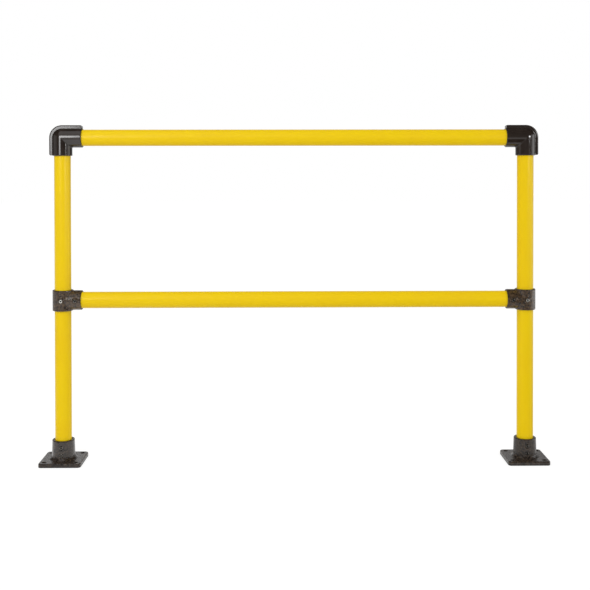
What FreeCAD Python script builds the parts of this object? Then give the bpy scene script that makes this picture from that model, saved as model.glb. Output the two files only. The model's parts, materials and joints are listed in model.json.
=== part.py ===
import FreeCAD, Part
import math
import os

# Handrail section: two tubular posts on bolted base flanges, a top rail and a mid rail,
# joined by cast socket fittings that are locked with set screws.
# Millimetres. X runs along the rails, the front faces -Y, Z is up,
# and the origin is on the floor midway between the posts.

# Overall sizes
OVERALL_LENGTH = 1500.0
OVERALL_HEIGHT = 1000.0
MID_RAIL_HEIGHT = 481.5

# Tube of the posts and rails
TUBE_DIAMETER = 48.3
TUBE_WALL = 3.2

# Fits between the pieces
SOCKET_GAP = 0.35
SCREW_TIP_GAP = 0.1
SCREW_THREAD_GAP = 0.1

# Depth of the sockets
TEE_ARM_DEPTH = 30.0
ELBOW_ARM_DEPTH = 32.5
ELBOW_LEG_DEPTH = 26.0

# Walls and ledges shared by the elbows and the tees
ARM_WALL = 4.5
STOP_WEB = 3.0
STOP_LEDGE = 4.2
MOUTH_CHAMFER = 1.2

# Spine along the outside of the elbow
SPINE_RISE = 8.0
SPINE_WIDTH = 24.0
SPINE_SETBACK = 1.5
SPINE_CHAMFER = 3.0

# Collar of the tee
COLLAR_WALL = 5.8
COLLAR_OVERHANG = 1.6

# Screw boss on the front of the tee
BOSS_DIAMETER = 18.0
BOSS_RISE = 2.4

# Base flange
PLATE_SIDE = 124.0
PLATE_THICKNESS = 12.0
PLATE_CORNER = 10.0
PLATE_CHAMFER = 2.0
BOLT_SPACING = 93.0
BOLT_HOLE = 13.0
FLANGE_HEIGHT = 68.0
FLANGE_WALL = 8.0
FLANGE_DRAFT = 2.0
FLANGE_SKIRT = 6.0
FLANGE_FLOOR = 5.0
DRAIN_HOLE = 10.0

# Set screws
SCREW_DIAMETER = 10.0
SCREW_LENGTH = 10.0
HEX_SIZE = 5.0
HEX_DEPTH = 5.0
MOUTH_SCREW_INSET = 16.0
FLANGE_UPPER_SCREW = 49.0
FLANGE_LOWER_SCREW = 27.0

# Sizes that follow from the ones above
TUBE_RADIUS = TUBE_DIAMETER / 2
BORE_RADIUS = TUBE_RADIUS + SOCKET_GAP
CORE_RADIUS = BORE_RADIUS - STOP_LEDGE
ARM_RADIUS = BORE_RADIUS + ARM_WALL
COLLAR_RADIUS = BORE_RADIUS + COLLAR_WALL
SPINE_RADIUS = ARM_RADIUS + SPINE_RISE
SOCKET_STOP = BORE_RADIUS + STOP_WEB
TEE_ARM_REACH = SOCKET_STOP + TEE_ARM_DEPTH
ELBOW_ARM_REACH = SOCKET_STOP + ELBOW_ARM_DEPTH
ELBOW_LEG_REACH = SOCKET_STOP + ELBOW_LEG_DEPTH
TEE_ARM_SCREW = TEE_ARM_REACH - MOUTH_SCREW_INSET
ELBOW_ARM_SCREW = ELBOW_ARM_REACH - MOUTH_SCREW_INSET
ELBOW_LEG_SCREW = ELBOW_LEG_REACH - MOUTH_SCREW_INSET
SCREW_HOLE_RADIUS = SCREW_DIAMETER / 2 + SCREW_THREAD_GAP
POST_X = (OVERALL_LENGTH - PLATE_SIDE) / 2
TOP_RAIL_HEIGHT = OVERALL_HEIGHT - SPINE_RADIUS

# Directions
ORIGIN = FreeCAD.Vector(0, 0, 0)
RIGHT = FreeCAD.Vector(1, 0, 0)
BACK = FreeCAD.Vector(0, 1, 0)
UP = FreeCAD.Vector(0, 0, 1)
LEFT = RIGHT * -1
FRONT = BACK * -1
DOWN = UP * -1

TOLERANCE = 1e-4


def rod(radius, start, direction, from_distance, to_distance):
    """Solid cylinder along a direction, between two distances from a start point."""
    foot = start + direction * from_distance
    return Part.makeCylinder(radius, to_distance - from_distance, foot, direction)


def flat_edges(shape, direction, distance, radius):
    """Round edges of one radius that lie on a plane square to a direction."""
    found = []
    for edge in shape.Edges:
        if edge.Degenerated or not isinstance(edge.Curve, Part.Circle):
            continue
        if abs(edge.Curve.Radius - radius) > TOLERANCE:
            continue
        if abs(edge.Curve.Center.dot(direction) - distance) > TOLERANCE:
            continue
        if abs(abs(edge.Curve.Axis.dot(direction)) - 1) < TOLERANCE:
            found.append(edge)
    return found


def chamfered_rim(shape, direction, distance, radius):
    """Break the outer rim of a socket mouth or collar."""
    return shape.makeChamfer(MOUTH_CHAMFER, flat_edges(shape, direction, distance, radius))


def tube(start, direction, length):
    """Hollow tube, open at both ends."""
    outside = rod(TUBE_RADIUS, start, direction, 0, length)
    inside = rod(TUBE_RADIUS - TUBE_WALL, start, direction, 0, length)
    return outside.cut(inside)


def elbow_spine():
    """Flat rib that follows the outside of the elbow and gives the set screws their thread."""
    arm_end = ELBOW_ARM_REACH - SPINE_SETBACK
    leg_end = ELBOW_LEG_REACH - SPINE_SETBACK
    top_end = FreeCAD.Vector(arm_end, 0, SPINE_RADIUS)
    top_start = FreeCAD.Vector(0, 0, SPINE_RADIUS)
    side_start = FreeCAD.Vector(-SPINE_RADIUS, 0, 0)
    side_end = FreeCAD.Vector(-SPINE_RADIUS, 0, -leg_end)
    middle = FreeCAD.Vector(-SPINE_RADIUS, 0, SPINE_RADIUS) * math.sqrt(0.5)
    outline = Part.Wire([
        Part.makeLine(top_end, top_start),
        Part.Arc(top_start, middle, side_start).toShape(),
        Part.makeLine(side_start, side_end),
        Part.makeLine(side_end, DOWN * leg_end),
        Part.makeLine(DOWN * leg_end, ORIGIN),
        Part.makeLine(ORIGIN, RIGHT * arm_end),
        Part.makeLine(RIGHT * arm_end, top_end),
    ])
    plate = Part.Face(outline).extrude(BACK * SPINE_WIDTH)
    plate.translate(FRONT * (SPINE_WIDTH / 2))
    outside = []
    for edge in plate.Edges:
        middle = edge.valueAt((edge.FirstParameter + edge.LastParameter) / 2)
        along = abs(middle.y) > SPINE_WIDTH / 2 - TOLERANCE
        top = abs(middle.z - SPINE_RADIUS) < TOLERANCE
        side = abs(middle.x + SPINE_RADIUS) < TOLERANCE
        corner = abs(middle.Length - SPINE_RADIUS) < TOLERANCE
        if along and (top or side or corner):
            outside.append(edge)
        arm_tip = top and abs(middle.x - arm_end) < TOLERANCE
        leg_tip = side and abs(middle.z + leg_end) < TOLERANCE
        if arm_tip or leg_tip:
            outside.append(edge)
    return plate.makeChamfer(SPINE_CHAMFER, outside)


def elbow():
    """Corner casting for the top rail (arm, +X) and the post (leg, -Z), axes crossing at zero."""
    arm = rod(ARM_RADIUS, ORIGIN, RIGHT, 0, ELBOW_ARM_REACH)
    leg = rod(ARM_RADIUS, ORIGIN, DOWN, 0, ELBOW_LEG_REACH)
    ball = Part.makeSphere(ARM_RADIUS)
    body = arm.fuse([leg, ball, elbow_spine()]).removeSplitter()
    for direction, reach in ((RIGHT, ELBOW_ARM_REACH), (DOWN, ELBOW_LEG_REACH)):
        body = body.cut(rod(BORE_RADIUS, ORIGIN, direction, SOCKET_STOP, reach))
        body = body.cut(rod(CORE_RADIUS, ORIGIN, direction, 0, SOCKET_STOP))
        body = chamfered_rim(body, direction, reach, ARM_RADIUS)
    for centre, outward in ((RIGHT * ELBOW_ARM_SCREW, UP), (DOWN * ELBOW_LEG_SCREW, LEFT)):
        body = body.cut(rod(SCREW_HOLE_RADIUS, centre, outward, TUBE_RADIUS / 2, SPINE_RADIUS))
    return body


def tee():
    """Collar that slides on the post (Z), with one socket for the mid rail (+X)."""
    half = ARM_RADIUS + COLLAR_OVERHANG
    screw_at = RIGHT * TEE_ARM_SCREW
    collar = rod(COLLAR_RADIUS, ORIGIN, UP, -half, half)
    arm = rod(ARM_RADIUS, ORIGIN, RIGHT, 0, TEE_ARM_REACH)
    post_boss = rod(BOSS_DIAMETER / 2, ORIGIN, FRONT, 0, COLLAR_RADIUS + BOSS_RISE)
    rail_boss = rod(BOSS_DIAMETER / 2, screw_at, FRONT, 0, ARM_RADIUS + BOSS_RISE)
    body = collar.fuse([arm, post_boss, rail_boss]).removeSplitter()
    body = body.cut(rod(BORE_RADIUS, ORIGIN, UP, -half, half))
    body = body.cut(rod(BORE_RADIUS, ORIGIN, RIGHT, SOCKET_STOP, TEE_ARM_REACH))
    body = chamfered_rim(body, RIGHT, TEE_ARM_REACH, ARM_RADIUS)
    for direction in (UP, DOWN):
        body = chamfered_rim(body, direction, half, COLLAR_RADIUS)
    body = body.cut(rod(SCREW_HOLE_RADIUS, ORIGIN, FRONT, TUBE_RADIUS / 2, COLLAR_RADIUS + BOSS_RISE))
    body = body.cut(rod(SCREW_HOLE_RADIUS, screw_at, FRONT, TUBE_RADIUS / 2, ARM_RADIUS + BOSS_RISE))
    return body


def base_flange():
    """Square plate with four bolt holes and a drafted socket that the post stands in."""
    side = PLATE_SIDE
    mouth_radius = BORE_RADIUS + FLANGE_WALL
    foot_radius = mouth_radius + FLANGE_HEIGHT * math.tan(math.radians(FLANGE_DRAFT))
    plate = Part.makeBox(side, side, PLATE_THICKNESS, FreeCAD.Vector(-side / 2, -side / 2, 0))
    upright = [edge for edge in plate.Edges if edge.BoundBox.ZLength > PLATE_THICKNESS / 2]
    plate = plate.makeFillet(PLATE_CORNER, upright)
    rim = [edge for edge in plate.Edges if edge.BoundBox.ZMin > PLATE_THICKNESS - TOLERANCE]
    plate = plate.makeChamfer(PLATE_CHAMFER, rim)
    socket = Part.makeCone(foot_radius, mouth_radius, FLANGE_HEIGHT)
    body = plate.fuse(socket).removeSplitter()
    plate_radius = foot_radius - PLATE_THICKNESS * math.tan(math.radians(FLANGE_DRAFT))
    body = body.makeChamfer(FLANGE_SKIRT, flat_edges(body, UP, PLATE_THICKNESS, plate_radius))
    body = chamfered_rim(body, UP, FLANGE_HEIGHT, mouth_radius)
    body = body.cut(rod(BORE_RADIUS, ORIGIN, UP, FLANGE_FLOOR, FLANGE_HEIGHT))
    body = body.cut(rod(DRAIN_HOLE / 2, ORIGIN, UP, 0, FLANGE_FLOOR))
    for across in (-BOLT_SPACING / 2, BOLT_SPACING / 2):
        for along in (-BOLT_SPACING / 2, BOLT_SPACING / 2):
            centre = FreeCAD.Vector(across, along, 0)
            body = body.cut(rod(BOLT_HOLE / 2, centre, UP, 0, PLATE_THICKNESS))
    for height in (FLANGE_LOWER_SCREW, FLANGE_UPPER_SCREW):
        body = body.cut(rod(SCREW_HOLE_RADIUS, UP * height, FRONT, TUBE_RADIUS / 2, side / 2))
    return body


def set_screw(axis_point, outward):
    """Set screw with a hexagon recess, its tip against the tube."""
    body = rod(SCREW_DIAMETER / 2, ORIGIN, UP, 0, SCREW_LENGTH)
    corners = []
    for step in range(7):
        angle = math.radians(60 * step)
        reach = HEX_SIZE / math.sqrt(3)
        corners.append(FreeCAD.Vector(reach * math.cos(angle), reach * math.sin(angle), SCREW_LENGTH))
    recess = Part.Face(Part.makePolygon(corners)).extrude(DOWN * HEX_DEPTH)
    body = body.cut(recess)
    turn = FreeCAD.Rotation(UP, outward)
    seat = axis_point + outward * (TUBE_RADIUS + SCREW_TIP_GAP)
    body.Placement = FreeCAD.Placement(seat, turn)
    return body


def placed(shape, position, axis=UP, angle=0):
    """Copy of a casting, turned about its own origin and moved into place."""
    copy = shape.copy()
    copy.Placement = FreeCAD.Placement(position, FreeCAD.Rotation(axis, angle))
    return copy


def handrail():
    """All pieces in their places, by name."""
    pieces = {}
    corner = elbow()
    branch = tee()
    foot = base_flange()
    for name, side, inward in (("left", -1, RIGHT), ("right", 1, LEFT)):
        base = RIGHT * (side * POST_X)
        mid = base + UP * MID_RAIL_HEIGHT
        top = base + UP * TOP_RAIL_HEIGHT
        outward = inward * -1
        turned = 0 if side < 0 else 180
        pieces[name + "_base_flange"] = placed(foot, base)
        post_length = TOP_RAIL_HEIGHT - SOCKET_STOP - FLANGE_FLOOR
        pieces[name + "_post"] = tube(base + UP * FLANGE_FLOOR, UP, post_length)
        pieces[name + "_tee"] = placed(branch, mid, BACK, turned)
        pieces[name + "_elbow"] = placed(corner, top, UP, turned)
        pieces[name + "_base_lower_screw"] = set_screw(base + UP * FLANGE_LOWER_SCREW, FRONT)
        pieces[name + "_base_upper_screw"] = set_screw(base + UP * FLANGE_UPPER_SCREW, FRONT)
        pieces[name + "_tee_post_screw"] = set_screw(mid, FRONT)
        pieces[name + "_tee_rail_screw"] = set_screw(mid + inward * TEE_ARM_SCREW, FRONT)
        pieces[name + "_elbow_post_screw"] = set_screw(top + DOWN * ELBOW_LEG_SCREW, outward)
        pieces[name + "_elbow_rail_screw"] = set_screw(top + inward * ELBOW_ARM_SCREW, UP)
    rail_end = POST_X - SOCKET_STOP
    pieces["mid_rail"] = tube(FreeCAD.Vector(-rail_end, 0, MID_RAIL_HEIGHT), RIGHT, 2 * rail_end)
    pieces["top_rail"] = tube(FreeCAD.Vector(-rail_end, 0, TOP_RAIL_HEIGHT), RIGHT, 2 * rail_end)
    return pieces


os.makedirs("parts", exist_ok=True)
for node, shape in handrail().items():
    shape.exportStep("parts/" + node + ".step")
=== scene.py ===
import json
import math

import bmesh
import bpy
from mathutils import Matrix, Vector


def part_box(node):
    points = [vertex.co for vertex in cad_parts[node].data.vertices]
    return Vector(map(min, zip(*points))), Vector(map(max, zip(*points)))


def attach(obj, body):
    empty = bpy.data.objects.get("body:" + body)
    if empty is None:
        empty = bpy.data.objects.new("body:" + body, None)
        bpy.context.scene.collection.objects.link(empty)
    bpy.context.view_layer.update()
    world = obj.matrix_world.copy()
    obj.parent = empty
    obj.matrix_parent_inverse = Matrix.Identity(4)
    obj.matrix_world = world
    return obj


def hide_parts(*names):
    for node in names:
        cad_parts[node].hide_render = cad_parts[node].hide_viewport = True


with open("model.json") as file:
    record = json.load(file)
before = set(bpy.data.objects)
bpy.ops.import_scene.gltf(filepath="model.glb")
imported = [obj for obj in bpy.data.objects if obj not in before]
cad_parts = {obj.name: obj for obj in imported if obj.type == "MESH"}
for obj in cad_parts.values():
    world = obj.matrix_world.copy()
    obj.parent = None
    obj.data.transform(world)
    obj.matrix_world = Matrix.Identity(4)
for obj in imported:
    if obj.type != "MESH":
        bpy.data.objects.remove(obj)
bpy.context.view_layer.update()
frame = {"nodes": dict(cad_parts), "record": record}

bl_info = {
    "name": "Handrail Section Finishes",
    "version": (1, 0, 0),
    "blender": (4, 5, 0),
    "location": "View3D > Sidebar > Handrail",
    "description": "Finishes a handrail's tubes, castings and set screws and lights it on a white floor",
    "category": "Object",
}

# The handrail's pieces, as the frame names them.
BODY = "root"
SLOTS = {row["node"]: row["material_slot"] for row in frame["record"]["subparts"]}
TUBES = ("left_post", "right_post", "top_rail", "mid_rail")
FRONT_SCREWS = ("tee_post_screw", "tee_rail_screw", "base_upper_screw", "base_lower_screw")

# Directions in the frame, a millimetre in its metres, and how near two points count as one.
OUTWARD = {"left": Vector((-1, 0, 0)), "right": Vector((1, 0, 0))}
FRONT = Vector((0, -1, 0))
UP = Vector((0, 0, 1))
MM = 0.001
SAME_POINT = 1e-6

# Softening of a casting's skin: each pull inwards is pushed back a little further, so that sizes stay.
SOFT_TURNS = 5
SOFT_PASSES = 5
PULL_IN = 0.5
PUSH_BACK = -0.52

# Steps round a screw, along its rounded rim and round its key socket, and the socket's material slot.
SCREW_SIDES = 48
RIM_STEPS = 6
HEX_SIDES = 6
SOCKET_SLOT = 1

# Half the side of a sheet of one metre, which is then scaled to its size.
SHEET_HALF = 0.5

# Kinds of node, and the places of a Mix node's two colours and of the colour that it gives.
NOISE = "ShaderNodeTexNoise"
RANGE = "ShaderNodeMapRange"
MATHS = "ShaderNodeMath"
BUMP = "ShaderNodeBump"
SHADER = "ShaderNodeBsdfPrincipled"
PLACE = "ShaderNodeTexCoord"
SPLIT = "ShaderNodeSeparateXYZ"
BLEND = "ShaderNodeMixShader"
BACKDROP = "ShaderNodeBackground"
MIX = "ShaderNodeMix"
MIX_A = 6
MIX_B = 7
MIX_RESULT = 2

# Where most values of a noise texture lie, where occlusion goes from a corner to open skin, and how
# many rays look for corners.
CLOUDS = {"From Min": 0.3, "From Max": 0.7}
CORNERS = {"From Min": 0.45, "From Max": 0.9}
OCCLUSION_SAMPLES = 8

# Layers of detail in the powder's ripples and in the sand grain, and the typical IOR of paint.
PEEL_DETAIL = 1.0
SAND_DETAIL = 3.0
PAINT_IOR = 1.5

# Plain colours of the stage.
WHITE = (1.0, 1.0, 1.0, 1.0)
BLACK = (0.0, 0.0, 0.0, 1.0)


def linear(hex_colour):
    """Linear red, green and blue of an sRGB hex colour."""
    values = [int(hex_colour[i : i + 2], 16) / 255 for i in (1, 3, 5)]
    return tuple(v / 12.92 if v <= 0.04045 else ((v + 0.055) / 1.055) ** 2.4 for v in values)


def opaque(colour):
    """A colour with full alpha."""
    return tuple(colour) + (1.0,)


def size_property(name, description, millimetres):
    """Length of a piece or a pattern, written in millimetres."""
    return bpy.props.FloatProperty(
        name=name, description=description, default=millimetres * MM, min=0.0, precision=5, unit="LENGTH"
    )


def sheet_property(name, description, default):
    """Two sides of a sheet or lamp on the stage, in metres."""
    return bpy.props.FloatVectorProperty(
        name=name, description=description, default=default, size=2, min=0.0, unit="LENGTH"
    )


def place_property(name, description, default):
    """Point on the stage, in metres."""
    return bpy.props.FloatVectorProperty(
        name=name, description=description, default=default, size=3, subtype="TRANSLATION"
    )


def angle_property(name, description, degrees):
    """Angle, written in degrees."""
    return bpy.props.FloatProperty(
        name=name, description=description, default=math.radians(degrees), unit="ROTATION"
    )


def colour_property(name, description, hex_colour):
    """Colour, written as an sRGB hex value."""
    return bpy.props.FloatVectorProperty(
        name=name,
        description=description,
        default=linear(hex_colour),
        size=3,
        min=0.0,
        max=1.0,
        subtype="COLOR",
    )


def share_property(name, description, default):
    """Share from nothing to all."""
    return bpy.props.FloatProperty(
        name=name, description=description, default=default, min=0.0, max=1.0, subtype="FACTOR"
    )


def strength_property(name, description, default):
    """Strength of a plain glow, where 1 is white."""
    return bpy.props.FloatProperty(name=name, description=description, default=default, min=0.0)


def power_property(name, description, default):
    """Power of a lamp, in watts."""
    return bpy.props.FloatProperty(
        name=name, description=description, default=default, min=0.0, unit="POWER"
    )


def camera_property(name, description, default):
    """Length in the camera, in millimetres."""
    return bpy.props.FloatProperty(
        name=name, description=description, default=default, min=0.0, unit="CAMERA"
    )


class HandrailTubes(bpy.types.PropertyGroup):
    """Powder coat of the posts and rails"""

    colour: colour_property("Colour", "Colour of the powder coat", "#F6D400")
    shade: colour_property("Shade", "Warmer colour that the powder coat drifts to", "#F4CA00")
    drift: size_property("Drift", "Size of the slow changes in colour and gloss", 90.0)
    roughness: share_property("Roughness", "Roughness of the powder coat", 0.34)
    dulling: share_property("Dulling", "How far the roughness drifts", 0.04)
    shine: share_property("Shine", "Specular level of the powder coat", 0.17)
    peel: size_property("Orange Peel", "Size of the ripples that the baked powder leaves", 3.0)
    peel_depth: size_property("Orange Peel Depth", "Depth of the ripples", 0.04)


class HandrailEnamel(bpy.types.PropertyGroup):
    """Gloss enamel of the elbows"""

    colour: colour_property("Colour", "Colour of the enamel", "#27201C")
    shade: colour_property("Shade", "Paler colour where the enamel is thin", "#302823")
    roughness: share_property("Roughness", "Roughness of the enamel", 0.11)
    grain: size_property("Grain", "Size of the mould grain under the enamel", 3.0)
    grain_depth: size_property("Grain Depth", "Depth of the grain that the enamel leaves", 0.001)
    swell: size_property("Swell", "Size of the slow waves in the casting", 30.0)
    swell_depth: size_property("Swell Depth", "Depth of the slow waves", 0.05)
    skin_cell: size_property("Skin Cell", "Size of the even faces that the casting is rebuilt with", 0.9)


class HandrailIron(bpy.types.PropertyGroup):
    """Satin paint of the tees and base flanges"""

    colour: colour_property("Colour", "Colour of the paint", "#15100D")
    shade: colour_property("Shade", "Paler colour on the high spots of the flanges", "#4A3F36")
    tee_shade: colour_property("Tee Shade", "Paler colour on the high spots of the tees", "#5C4833")
    roughness: share_property("Roughness", "Roughness of the paint", 0.22)
    grain: size_property("Grain", "Size of the mould grain under the paint", 1.2)
    grain_depth: size_property("Grain Depth", "Depth of the grain that the paint leaves", 0.2)
    # Deeper than real lumps, so that they show.
    swell: size_property("Swell", "Size of the lumps that the mould left", 6.0)
    swell_depth: size_property("Swell Depth", "Depth of the lumps", 0.9)
    skin_cell: size_property("Skin Cell", "Size of the even faces that the casting is rebuilt with", 1.2)


class HandrailCastings(bpy.types.PropertyGroup):
    """Painted shade and dulling in inner corners, and parting line of the castings"""

    # Occlusion paints shade into inner corners: the colour there falls to the share below, and the paint
    # turns rougher.
    crease: size_property("Crease", "Reach of the dark grime in inner corners", 7.0)
    painted_shade: share_property("Grime", "Share of the paint's colour that shows through the grime", 0.1)
    grime_roughness: share_property("Grime Roughness", "Roughness of the grime", 0.6)
    parting_half: size_property("Parting Line", "Half width of the line where the mould halves met", 0.7)
    parting_crown: size_property("Parting Crown", "Half width of the flat top of that line", 0.2)
    parting_rise: size_property("Parting Rise", "Height of that line", 0.3)


class HandrailScrews(bpy.types.PropertyGroup):
    """Plating and sizes of the set screws"""

    zinc: colour_property("Zinc", "Colour of the zinc plating", "#CFCDC6")
    black: colour_property("Black", "Colour of the blackened screws", "#6B6762")
    cloud: size_property("Cloud", "Size of the dull clouds in the plating", 3.0)
    bright: share_property("Bright", "Roughness where the plating is bright", 0.22)
    dull: share_property("Dull", "Roughness where the plating is dull", 0.38)
    # The socket's oxide and grease colours are near black and also stand in for the shade inside the hole.
    oxide: colour_property("Oxide", "Colour of the black oxide in the key socket", "#100E0D")
    grease: colour_property("Grease", "Colour of the grease in the key socket", "#1E1B19")
    grease_roughness: share_property("Grease Roughness", "Roughness of that grease", 0.6)
    pitch: size_property("Pitch", "Pitch of the thread", 1.5)
    thread_depth: size_property("Thread Depth", "Depth of the thread", 0.8)
    crest: size_property("Crest", "Width of the thread's flat crest", 0.15)
    cup_radius: size_property("Cup Radius", "Radius of the edge that bites into the tube", 3.0)
    cup_depth: size_property("Cup Depth", "Depth of the hollow inside that edge", 1.0)
    point_height: size_property("Point Height", "Height of the tapered point below the thread", 1.5)
    rim_width: size_property("Rim Width", "Width of the rounded rim, towards the axis", 2.0)
    rim_height: size_property("Rim Height", "Height of the rounded rim, along the axis", 1.4)
    hex_size: size_property("Hex Size", "Width across the flats of the key socket", 5.0)
    hex_depth: size_property("Hex Depth", "Depth of the key socket", 5.0)


class HandrailStage(bpy.types.PropertyGroup):
    """Floor, light and camera"""

    floor_size: sheet_property("Floor Size", "Width and depth of the floor", (40.0, 40.0))
    floor_colour: colour_property("Floor Colour", "Colour of the paper floor", "#E4E4E4")
    floor_white: share_property("Floor White", "Share of plain white in the floor, to the camera", 0.65)
    floor_gloss: share_property("Floor in Gloss", "Share of plain white in the floor, to gloss", 0.35)
    floor_glow: strength_property("Floor Glow", "Strength of the floor's plain white", 1.25)
    ambient: strength_property("Ambient", "Strength of the light from all round", 0.75)
    dim_front: share_property("Dim Front", "Strength that gloss sees behind the camera", 0.12)
    dim_above: share_property("Dim Above", "Share of the sweep that gloss still sees overhead", 0.15)
    sweep_start: share_property("Sweep Start", "How far back a ray points where the sweep starts", 0.1)
    sweep_end: share_property("Sweep End", "How far back it points where the sweep is white", 0.8)
    fade_start: share_property("Fade Start", "How far up a ray points where the sweep starts to dim", 0.1)
    fade_end: share_property("Fade End", "How far up it points where the sweep is dim", 0.6)
    dim_sides: share_property("Dim Sides", "Share of the sweep that gloss still sees at the sides", 0.3)
    sweep_left: share_property("Sweep Left", "How far left a ray points where the sweep is brightest", 0.1)
    side_start: share_property("Side Start", "How far to each side of that it starts to dim", 0.2)
    side_end: share_property("Side End", "How far to each side it is dim", 0.5)
    aim: place_property("Aim", "Point that the front softbox and the panels face", (0.0, 0.0, 0.6))
    front_power: power_property("Front Power", "Power of the front softbox, hidden from gloss", 30.0)
    front_place: place_property("Front Place", "Place of the front softbox", (-0.9, -3.0, 2.1))
    front_size: sheet_property("Front Size", "Width and height of the front softbox", (2.0, 1.6))
    strip_power: power_property("Strip Power", "Power of the left strip, seen in gloss alone", 1.2)
    strip_place: place_property("Strip Place", "Place of the left strip", (-1.19, -1.52, 1.27))
    strip_aim: place_property("Strip Aim", "Point that the left strip and fill face", (-0.69, 0.0, 0.9))
    strip_size: sheet_property("Strip Size", "Width and height of the left strip", (0.46, 0.74))
    strip_spread: angle_property("Strip Spread", "Angle that the left strip's grid lets through", 55.0)
    fill_power: power_property("Fill Power", "Power of the left fill, seen in gloss alone", 9.0)
    fill_place: place_property("Fill Place", "Place of the left fill", (-0.95, -1.1, 2.6))
    fill_size: sheet_property("Fill Size", "Width and height of the left fill", (1.6, 1.8))
    left_power: power_property("Left Power", "Power of the left panel, seen in gloss alone", 5.0)
    left_place: place_property("Left Place", "Place of the left panel", (-3.0, -0.5, 0.9))
    left_size: sheet_property("Left Size", "Width and height of the left panel", (2.0, 1.8))
    lamp_power: power_property("Lamp Power", "Power of the right lamp, seen in gloss alone", 4.5)
    lamp_place: place_property("Lamp Place", "Place of the right lamp", (2.5, -2.4, 1.49))
    lamp_aim: place_property("Lamp Aim", "Point that the right lamp faces", (0.0, 0.0, 1.15))
    lamp_size: sheet_property("Lamp Size", "Width and height of the right lamp", (0.9, 0.7))
    lamp_spread: angle_property("Lamp Spread", "Angle that the right lamp's grid lets through", 40.0)
    panel_power: power_property("Panel Power", "Power of the right panel, seen in gloss alone", 22.0)
    panel_place: place_property("Panel Place", "Place of the right panel", (3.0, 0.0, 0.9))
    panel_size: sheet_property("Panel Size", "Width and height of the right panel", (2.2, 1.8))
    card_power: power_property("Card Power", "Power of the floor card, seen in gloss alone", 6.0)
    card_place: place_property("Card Place", "Place of the card by the left post", (-1.0, -1.0, 0.02))
    card_size: sheet_property("Card Size", "Width and depth of the floor card", (1.4, 2.6))
    flag_place: place_property("Flag Place", "Place of the flag by the right post", (0.85, -1.55, 0.01))
    flag_size: sheet_property("Flag Size", "Width and depth of the black flag", (1.5, 2.1))
    camera_place: place_property("Camera Place", "Place of the camera", (-0.031, -2.822, 0.880))
    camera_pitch: angle_property("Camera Pitch", "How far the camera looks up from straight down", 89.31)
    camera_roll: angle_property("Camera Roll", "How far the camera leans", 0.07)
    camera_turn: angle_property("Camera Turn", "How far the camera turns to the left", -0.66)
    lens: camera_property("Lens", "Focal length", 57.9)
    sensor: camera_property("Sensor", "Width of the sensor", 36.0)
    drop: share_property("Drop", "How far the view is shifted down, in picture widths", 0.2)


def add_node(tree, kind, settings=None, links=None):
    """Add a node, set its properties and inputs, and link its inputs to the outputs given."""
    node = tree.nodes.new(kind)
    for key, value in (settings or {}).items():
        if isinstance(key, int) or key in node.inputs:
            node.inputs[key].default_value = value
        else:
            setattr(node, key, value)
    for key, output in (links or {}).items():
        tree.links.new(output, node.inputs[key])
    return node


def new_material(name):
    """Empty node material: itself, its tree and its output."""
    material = bpy.data.materials.new(name)
    material.use_nodes = True
    tree = material.node_tree
    tree.nodes.clear()
    output = add_node(tree, "ShaderNodeOutputMaterial")
    return material, tree, output


def powder_coat(tubes):
    """Polyester powder baked on steel tube: an even strong colour, satin gloss and fine orange peel."""
    material, tree, output = new_material("yellow_polyester_powder_coat_baked")
    place = add_node(tree, PLACE).outputs["Object"]
    drift = add_node(tree, NOISE, {"Scale": 1 / tubes.drift}, {"Vector": place}).outputs["Fac"]
    colours = {"data_type": "RGBA", MIX_A: opaque(tubes.colour), MIX_B: opaque(tubes.shade)}
    colour = add_node(tree, MIX, colours, {"Factor": drift})
    satin = {"To Min": tubes.roughness - tubes.dulling, "To Max": tubes.roughness + tubes.dulling}
    gloss = add_node(tree, RANGE, CLOUDS | satin, {"Value": drift})
    peel = add_node(tree, NOISE, {"Scale": 1 / tubes.peel, "Detail": PEEL_DETAIL}, {"Vector": place})
    ripple = add_node(tree, BUMP, {"Distance": tubes.peel_depth}, {"Height": peel.outputs["Fac"]})
    coat = add_node(
        tree,
        SHADER,
        {"IOR": PAINT_IOR, "Specular IOR Level": tubes.shine},
        {
            "Base Color": colour.outputs[MIX_RESULT],
            "Roughness": gloss.outputs["Result"],
            "Normal": ripple.outputs["Normal"],
        },
    )
    tree.links.new(coat.outputs["BSDF"], output.inputs["Surface"])
    return material


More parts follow.
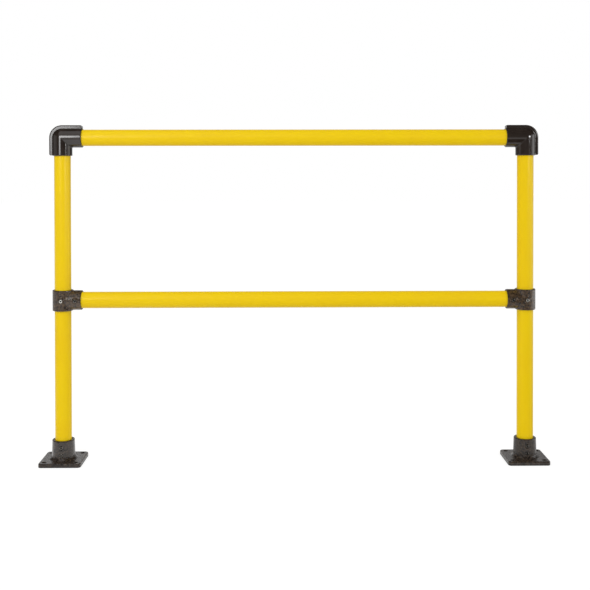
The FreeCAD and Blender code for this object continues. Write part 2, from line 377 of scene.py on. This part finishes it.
def painted_casting(name, paint, shade, castings, parted):
    """Sand-cast iron paint: a dark skin over lumps and grain, painted shade and dulling in inner corners.
    """
    material, tree, output = new_material(name)
    place = add_node(tree, PLACE).outputs["Object"]

    # Lumps of the mould: paler and proud, where the paint has worn thin.
    lumps = add_node(tree, NOISE, {"Scale": 1 / paint.swell}, {"Vector": place}).outputs["Fac"]
    worn = add_node(tree, RANGE, CLOUDS, {"Value": lumps}).outputs["Result"]
    colours = {"data_type": "RGBA", MIX_A: opaque(paint.colour), MIX_B: opaque(shade)}
    tint = add_node(tree, MIX, colours, {"Factor": worn})
    swells = add_node(tree, BUMP, {"Distance": paint.swell_depth}, {"Height": lumps})

    # Sand grain. Real grains are under half a millimetre, so they are drawn coarser to show at all.
    sand = add_node(tree, NOISE, {"Scale": 1 / paint.grain, "Detail": SAND_DETAIL}, {"Vector": place})
    under = {"Height": sand.outputs["Fac"], "Normal": swells.outputs["Normal"]}
    normal = add_node(tree, BUMP, {"Distance": paint.grain_depth}, under).outputs["Normal"]

    # Flash that the mould halves left along the middle of the casting.
    if parted:
        across = add_node(tree, SPLIT, links={"Vector": place})
        off = add_node(tree, MATHS, {"operation": "ABSOLUTE"}, {0: across.outputs["Y"]})
        edges = {
            "From Min": castings.parting_crown,
            "From Max": castings.parting_half,
            "To Min": 1.0,
            "To Max": 0.0,
        }
        ridge = add_node(tree, RANGE, edges, {"Value": off.outputs["Value"]})
        over = {"Height": ridge.outputs["Result"], "Normal": normal}
        normal = add_node(tree, BUMP, {"Distance": castings.parting_rise}, over).outputs["Normal"]

    # Painted shade in the inner corners: occlusion darkens the paint's colour there, and the paint is
    # rougher there too.
    reach = {"samples": OCCLUSION_SAMPLES, "Distance": castings.crease}
    corner = add_node(tree, "ShaderNodeAmbientOcclusion", reach)
    unshaded = add_node(tree, RANGE, CORNERS | {"To Min": castings.painted_shade}, {"Value": corner.outputs["AO"]})
    shade_blend = {"data_type": "RGBA", "blend_type": "MULTIPLY", "Factor": 1.0}
    layers = {MIX_A: tint.outputs[MIX_RESULT], MIX_B: unshaded.outputs["Result"]}
    shaded_tint = add_node(tree, MIX, shade_blend, layers)
    dulled = {"To Min": castings.grime_roughness, "To Max": paint.roughness}
    rough = add_node(tree, RANGE, CORNERS | dulled, {"Value": corner.outputs["AO"]})

    skin = add_node(
        tree,
        SHADER,
        {"IOR": PAINT_IOR},
        {
            "Base Color": shaded_tint.outputs[MIX_RESULT],
            "Roughness": rough.outputs["Result"],
            "Normal": normal,
        },
    )
    tree.links.new(skin.outputs["BSDF"], output.inputs["Surface"])
    return material


def turned_steel(name, colour, screws):
    """Plated or blackened steel, turned on a lathe: bright metal that dulls in faint clouds."""
    material, tree, output = new_material(name)
    place = add_node(tree, PLACE).outputs["Object"]
    clouds = add_node(tree, NOISE, {"Scale": 1 / screws.cloud}, {"Vector": place})
    patches = CLOUDS | {"To Min": screws.bright, "To Max": screws.dull}
    rough = add_node(tree, RANGE, patches, {"Value": clouds.outputs["Fac"]})
    metal = add_node(
        tree,
        SHADER,
        {"Base Color": opaque(colour), "Metallic": 1.0},
        {"Roughness": rough.outputs["Result"]},
    )
    tree.links.new(metal.outputs["BSDF"], output.inputs["Surface"])
    return material


def key_socket_oxide_and_shade(screws):
    """Black oxide and grease in a key socket, near black so as to paint in the hole's shade: it reads as a
    dark hole.
    """
    material, tree, output = new_material("oiled_oxide_and_painted_shade_in_key_socket")
    place = add_node(tree, PLACE).outputs["Object"]
    clouds = add_node(tree, NOISE, {"Scale": 1 / screws.cloud}, {"Vector": place})
    colours = {"data_type": "RGBA", MIX_A: opaque(screws.oxide), MIX_B: opaque(screws.grease)}
    tint = add_node(tree, MIX, colours, {"Factor": clouds.outputs["Fac"]})
    rough = {"Roughness": screws.grease_roughness}
    painted_shade = add_node(tree, SHADER, rough, {"Base Color": tint.outputs[MIX_RESULT]})
    tree.links.new(painted_shade.outputs["BSDF"], output.inputs["Surface"])
    return material


def show_piece(name, mesh, node, materials):
    """Put a finished mesh in the scene in place of a node of the frame."""
    piece = bpy.data.objects.new(name, mesh)
    bpy.context.scene.collection.objects.link(piece)
    for material in materials:
        mesh.materials.append(material)
    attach(piece, BODY)
    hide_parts(node)
    return piece


def moulded_copy(node, material, skin_cell):
    """Rebuild a casting with even faces and the soft edges and blended corners that a sand mould leaves."""
    mesh = frame["nodes"][node].data.copy()
    mesh.name = node + "_casting"
    mesh.materials.clear()
    bm = bmesh.new()
    bm.from_mesh(mesh)
    bmesh.ops.remove_doubles(bm, verts=bm.verts, dist=SAME_POINT)
    bm.to_mesh(mesh)
    bm.free()
    piece = show_piece(node + "_casting", mesh, node, [material])
    skin = piece.modifiers.new("even_skin", "REMESH")
    skin.mode = "VOXEL"
    skin.voxel_size = skin_cell
    skin.use_smooth_shade = True
    for turn in range(SOFT_TURNS):
        for name, factor in (("soften", PULL_IN), ("keep_size", PUSH_BACK)):
            smooth = piece.modifiers.new("%s_%d" % (name, turn + 1), "SMOOTH")
            smooth.factor = factor
            smooth.iterations = SOFT_PASSES


class HANDRAIL_OT_coat_tubes(bpy.types.Operator):
    """Powder coat the posts and rails"""

    bl_idname = "handrail.coat_tubes"
    bl_label = "Coat Tubes"

    def execute(self, context):
        material = powder_coat(context.scene.handrail_tubes)
        for name in TUBES:
            tube = frame["nodes"][name]
            tube.data.materials.clear()
            tube.data.materials.append(material)
        return {"FINISHED"}


class HANDRAIL_OT_cast_elbows(bpy.types.Operator):
    """Cast the corner elbows and enamel them gloss black"""

    bl_idname = "handrail.cast_elbows"
    bl_label = "Cast Elbows"

    def execute(self, context):
        paint = context.scene.handrail_enamel
        castings = context.scene.handrail_castings
        name = "black_gloss_enamel_on_cast_iron"
        enamel = painted_casting(name, paint, paint.shade, castings, parted=True)
        for side in OUTWARD:
            moulded_copy(side + "_elbow", enamel, paint.skin_cell)
        return {"FINISHED"}


class HANDRAIL_OT_cast_tees(bpy.types.Operator):
    """Cast the tees on the posts and paint them satin black"""

    bl_idname = "handrail.cast_tees"
    bl_label = "Cast Tees"

    def execute(self, context):
        paint = context.scene.handrail_iron
        castings = context.scene.handrail_castings
        name = "black_satin_paint_on_parted_casting"
        satin = painted_casting(name, paint, paint.tee_shade, castings, parted=True)
        for side in OUTWARD:
            moulded_copy(side + "_tee", satin, paint.skin_cell)
        return {"FINISHED"}


class HANDRAIL_OT_cast_base_flanges(bpy.types.Operator):
    """Cast the base flanges and paint them satin black"""

    bl_idname = "handrail.cast_base_flanges"
    bl_label = "Cast Base Flanges"

    def execute(self, context):
        paint = context.scene.handrail_iron
        castings = context.scene.handrail_castings
        name = "black_satin_paint_on_cast_iron"
        satin = painted_casting(name, paint, paint.shade, castings, parted=False)
        for side in OUTWARD:
            moulded_copy(side + "_base_flange", satin, paint.skin_cell)
        return {"FINISHED"}


class HANDRAIL_OT_thread_screws(bpy.types.Operator):
    """Turn, thread and plate the set screws"""

    bl_idname = "handrail.thread_screws"
    bl_label = "Thread Screws"

    def execute(self, context):
        screws = context.scene.handrail_screws
        # Near-black key socket: oxide and grease colours that also paint in the hole's shade.
        painted_shade = key_socket_oxide_and_shade(screws)
        plating = {
            "zinc_screw": turned_steel("zinc_plated_steel_turned", screws.zinc, screws),
            "black_screw": turned_steel("blackened_steel_turned", screws.black, screws),
        }
        for side, outward in OUTWARD.items():
            directions = {side + "_" + name: FRONT for name in FRONT_SCREWS}
            directions[side + "_elbow_rail_screw"] = UP
            directions[side + "_elbow_post_screw"] = outward
            for node, direction in directions.items():
                self.screw(node, direction, screws, [plating[SLOTS[node]], painted_shade])
        return {"FINISHED"}

    def screw(self, node, outward, screws, materials):
        """Make a screw along the direction that its key goes in from, as large as its node."""
        low, high = (Vector(corner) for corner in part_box(node))
        extent = high - low
        length = abs(extent.dot(outward))
        radius = max(extent - outward * extent.dot(outward)) / 2
        bm = bmesh.new()
        self.turn_thread(bm, radius, length, screws)
        self.cut_key_socket(bm, length, screws)
        bmesh.ops.remove_doubles(bm, verts=bm.verts, dist=SAME_POINT)
        bmesh.ops.recalc_face_normals(bm, faces=bm.faces)
        turn = outward.to_track_quat("Z", "Y").to_matrix().to_4x4()
        turn.translation = (low + high) / 2 - outward * length / 2
        bmesh.ops.transform(bm, matrix=turn, verts=bm.verts)
        mesh = bpy.data.meshes.new(node + "_threaded")
        bm.to_mesh(mesh)
        bm.free()
        show_piece(node + "_threaded", mesh, node, materials)

    def turn_thread(self, bm, radius, length, screws):
        """Spin the outline of a cup point, the thread's ridges and a rounded rim."""
        root = radius - screws.thread_depth
        outline = [(0.0, screws.cup_depth), (screws.cup_radius, 0.0), (root, screws.point_height)]
        turns = int((length - screws.point_height - screws.rim_height) / screws.pitch)
        for turn in range(turns):
            foot = screws.point_height + turn * screws.pitch
            crest = foot + (screws.pitch - screws.crest) / 2
            outline.append((radius, crest))
            outline.append((radius, crest + screws.crest))
            outline.append((root, foot + screws.pitch))
        for step in range(RIM_STEPS + 1):
            angle = math.pi / 2 * step / RIM_STEPS
            across = radius - screws.rim_width * (1 - math.cos(angle))
            along = length - screws.rim_height * (1 - math.sin(angle))
            outline.append((across, along))
        verts = [bm.verts.new((across, 0.0, along)) for across, along in outline]
        edges = [bm.edges.new(pair) for pair in zip(verts, verts[1:])]
        bmesh.ops.spin(
            bm,
            geom=verts + edges,
            cent=(0, 0, 0),
            axis=UP,
            angle=2 * math.pi,
            steps=SCREW_SIDES,
            use_merge=True,
        )
        rim_foot = length - screws.rim_height - SAME_POINT
        for face in bm.faces:
            face.smooth = all(vert.co.z > rim_foot for vert in face.verts)

    def cut_key_socket(self, bm, length, screws):
        """Close the outer end round a hexagonal key socket."""
        end = length - SAME_POINT
        open_edges = [edge for edge in bm.edges if edge.is_boundary]
        rim = [edge for edge in open_edges if all(vert.co.z > end for vert in edge.verts)]
        corner = screws.hex_size / 2 / math.cos(math.pi / HEX_SIDES)
        ring = bmesh.ops.create_circle(bm, segments=HEX_SIDES, radius=corner)["verts"]
        bmesh.ops.translate(bm, verts=ring, vec=UP * length)
        mouth = list({edge for vert in ring for edge in vert.link_edges})
        bmesh.ops.triangle_fill(bm, edges=rim + mouth, use_beauty=True, normal=UP)
        walls = bmesh.ops.extrude_edge_only(bm, edges=mouth)["geom"]
        floor = [item for item in walls if isinstance(item, bmesh.types.BMVert)]
        bmesh.ops.translate(bm, verts=floor, vec=UP * -screws.hex_depth)
        bottom = bmesh.ops.contextual_create(bm, geom=floor)["faces"]
        for face in bottom + [item for item in walls if isinstance(item, bmesh.types.BMFace)]:
            face.material_index = SOCKET_SLOT


class HANDRAIL_OT_set_stage(bpy.types.Operator):
    """Lay a white floor, set the softboxes and place the camera"""

    bl_idname = "handrail.set_stage"
    bl_label = "Set Stage"

    def execute(self, context):
        stage = context.scene.handrail_stage
        self.floor(context, stage)
        self.flag(context, stage)
        self.surroundings(context, stage)
        self.lamps(context, stage)
        self.camera(context, stage)
        context.scene.view_settings.view_transform = "Standard"
        return {"FINISHED"}

    def rays(self, tree):
        """Two masks: rays from the camera, and rays from gloss or through glass."""
        path = add_node(tree, "ShaderNodeLightPath")
        kinds = {0: path.outputs["Is Glossy Ray"], 1: path.outputs["Is Transmission Ray"]}
        mirror = add_node(tree, MATHS, {"operation": "MAXIMUM"}, kinds)
        return path.outputs["Is Camera Ray"], mirror.outputs["Value"]

    def level_sheet(self, context, name, place, size, material):
        """Flat sheet that lies level."""
        mesh = bpy.data.meshes.new(name)
        bm = bmesh.new()
        bmesh.ops.create_grid(bm, x_segments=1, y_segments=1, size=SHEET_HALF)
        bmesh.ops.scale(bm, verts=bm.verts, vec=(size[0], size[1], 1.0))
        bmesh.ops.translate(bm, verts=bm.verts, vec=place)
        bm.to_mesh(mesh)
        bm.free()
        mesh.materials.append(material)
        sheet = bpy.data.objects.new(name, mesh)
        context.scene.collection.objects.link(sheet)
        return sheet

    def floor(self, context, stage):
        """White paper that still takes the handrail's shadow."""
        material, tree, output = new_material("white_paper_sweep")
        camera, mirror = self.rays(tree)
        glossy = add_node(tree, MATHS, {"operation": "MULTIPLY", 1: stage.floor_gloss}, {0: mirror})
        blend = {"operation": "MULTIPLY_ADD", 1: stage.floor_white}
        share = add_node(tree, MATHS, blend, {0: camera, 2: glossy.outputs["Value"]})
        paper = add_node(tree, "ShaderNodeBsdfDiffuse", {"Color": opaque(stage.floor_colour)})
        white = add_node(tree, "ShaderNodeEmission", {"Color": WHITE, "Strength": stage.floor_glow})
        layers = {0: share.outputs["Value"], 1: paper.outputs["BSDF"], 2: white.outputs["Emission"]}
        mixed = add_node(tree, BLEND, links=layers)
        tree.links.new(mixed.outputs["Shader"], output.inputs["Surface"])
        self.level_sheet(context, "white_floor", (0, 0, 0), stage.floor_size, material)

    def flag(self, context, stage):
        """Black cloth that keeps the floor out of the right elbow's gloss, and shows in gloss alone."""
        material, tree, output = new_material("black_flag_cloth")
        cloth = add_node(tree, "ShaderNodeBsdfDiffuse", {"Color": BLACK})
        tree.links.new(cloth.outputs["BSDF"], output.inputs["Surface"])
        flag = self.level_sheet(context, "black_flag", stage.flag_place, stage.flag_size, material)
        flag.visible_camera = False
        flag.visible_diffuse = False
        flag.visible_shadow = False

    def sweep_in_gloss(self, tree, stage):
        """Strength that gloss sees: a white sweep at the back, which dims overhead and to the sides."""
        direction = add_node(tree, PLACE).outputs["Generated"]
        parts = add_node(tree, SPLIT, links={"Vector": direction})
        depth = {"From Min": stage.sweep_start, "From Max": stage.sweep_end, "To Min": stage.dim_front}
        sweep = add_node(tree, RANGE, depth, {"Value": parts.outputs["Y"]})
        height = {
            "From Min": stage.fade_start,
            "From Max": stage.fade_end,
            "To Min": 1.0,
            "To Max": stage.dim_above,
        }
        fade = add_node(tree, RANGE, height, {"Value": parts.outputs["Z"]})
        centred = add_node(tree, MATHS, {"operation": "ADD", 1: stage.sweep_left}, {0: parts.outputs["X"]})
        off = add_node(tree, MATHS, {"operation": "ABSOLUTE"}, {0: centred.outputs["Value"]})
        width = {
            "From Min": stage.side_start,
            "From Max": stage.side_end,
            "To Min": 1.0,
            "To Max": stage.dim_sides,
        }
        side = add_node(tree, RANGE, width, {"Value": off.outputs["Value"]})
        faded = {0: sweep.outputs["Result"], 1: fade.outputs["Result"]}
        above = add_node(tree, MATHS, {"operation": "MULTIPLY"}, faded)
        sided = {0: above.outputs["Value"], 1: side.outputs["Result"]}
        return add_node(tree, MATHS, {"operation": "MULTIPLY"}, sided).outputs["Value"]

    def surroundings(self, context, stage):
        """White to the camera, even soft light, and in gloss a white sweep behind a dim studio."""
        world = bpy.data.worlds.new("white_studio")
        world.use_nodes = True
        tree = world.node_tree
        tree.nodes.clear()
        output = add_node(tree, "ShaderNodeOutputWorld")
        camera, mirror = self.rays(tree)
        strength = self.sweep_in_gloss(tree, stage)
        around = add_node(tree, BACKDROP, {"Color": WHITE, "Strength": stage.ambient})
        shown = add_node(tree, BACKDROP, {"Color": WHITE, "Strength": 1.0})
        mirrored = add_node(tree, BACKDROP, {"Color": WHITE}, {"Strength": strength})
        unseen = {0: mirror, 1: around.outputs["Background"], 2: mirrored.outputs["Background"]}
        lit = add_node(tree, BLEND, links=unseen)
        layers = {0: camera, 1: lit.outputs["Shader"], 2: shown.outputs["Background"]}
        final = add_node(tree, BLEND, links=layers)
        tree.links.new(final.outputs["Shader"], output.inputs["Surface"])
        context.scene.world = world

    def lamps(self, context, stage):
        """One softbox lights the handrail. The others draw the highlights and show in gloss alone."""
        front = self.softbox(
            context, "front_softbox", stage.front_place, stage.aim, stage.front_size, stage.front_power
        )
        front.visible_glossy = False
        over_card = Vector(stage.card_place) + UP
        highlights = (
            ("left_strip", stage.strip_place, stage.strip_aim, stage.strip_size, stage.strip_power),
            ("left_fill", stage.fill_place, stage.strip_aim, stage.fill_size, stage.fill_power),
            ("left_panel", stage.left_place, stage.aim, stage.left_size, stage.left_power),
            ("right_lamp", stage.lamp_place, stage.lamp_aim, stage.lamp_size, stage.lamp_power),
            ("right_panel", stage.panel_place, stage.aim, stage.panel_size, stage.panel_power),
            ("floor_card", stage.card_place, over_card, stage.card_size, stage.card_power),
        )
        grids = {"left_strip": stage.strip_spread, "right_lamp": stage.lamp_spread}
        for name, place, aim, size, power in highlights:
            softbox = self.softbox(context, name, place, aim, size, power)
            softbox.visible_diffuse = False
            if name in grids:
                softbox.data.spread = grids[name]

    def softbox(self, context, name, place, aim, size, power):
        """Rectangular lamp that faces a point and hides from the camera."""
        lamp = bpy.data.lights.new(name, "AREA")
        lamp.shape = "RECTANGLE"
        lamp.size, lamp.size_y = size
        lamp.energy = power
        softbox = bpy.data.objects.new(name, lamp)
        softbox.location = place
        softbox.rotation_euler = (Vector(aim) - Vector(place)).to_track_quat("-Z", "Y").to_euler()
        softbox.visible_camera = False
        context.scene.collection.objects.link(softbox)
        return softbox

    def camera(self, context, stage):
        """Camera at the photograph's viewpoint, shifted down so that the posts stay upright."""
        data = bpy.data.cameras.new("front_camera")
        data.sensor_width = stage.sensor
        data.lens = stage.lens
        data.shift_y = -stage.drop
        camera = bpy.data.objects.new("front_camera", data)
        camera.location = stage.camera_place
        camera.rotation_euler = (stage.camera_pitch, stage.camera_roll, stage.camera_turn)
        context.scene.collection.objects.link(camera)
        context.scene.camera = camera


class VIEW3D_PT_handrail(bpy.types.Panel):
    """Finishes and stage of the handrail section"""

    bl_idname = "VIEW3D_PT_handrail"
    bl_label = "Handrail"
    bl_space_type = "VIEW_3D"
    bl_region_type = "UI"
    bl_category = "Handrail"

    def draw(self, context):
        for operator in OPERATORS:
            self.layout.operator(operator.bl_idname)


OPERATORS = (
    HANDRAIL_OT_coat_tubes,
    HANDRAIL_OT_cast_elbows,
    HANDRAIL_OT_cast_tees,
    HANDRAIL_OT_cast_base_flanges,
    HANDRAIL_OT_thread_screws,
    HANDRAIL_OT_set_stage,
)
GROUPS = {
    "handrail_tubes": HandrailTubes,
    "handrail_enamel": HandrailEnamel,
    "handrail_iron": HandrailIron,
    "handrail_castings": HandrailCastings,
    "handrail_screws": HandrailScrews,
    "handrail_stage": HandrailStage,
}
CLASSES = tuple(GROUPS.values()) + OPERATORS + (VIEW3D_PT_handrail,)


def register():
    for cls in CLASSES:
        bpy.utils.register_class(cls)
    for name, group in GROUPS.items():
        setattr(bpy.types.Scene, name, bpy.props.PointerProperty(type=group))


def unregister():
    for name in GROUPS:
        delattr(bpy.types.Scene, name)
    for cls in reversed(CLASSES):
        bpy.utils.unregister_class(cls)


def main():
    register()
    bpy.ops.handrail.coat_tubes()
    bpy.ops.handrail.cast_elbows()
    bpy.ops.handrail.cast_tees()
    bpy.ops.handrail.cast_base_flanges()
    bpy.ops.handrail.thread_screws()
    bpy.ops.handrail.set_stage()
    bpy.context.view_layer.update()


if __name__ == "__main__":
    main()
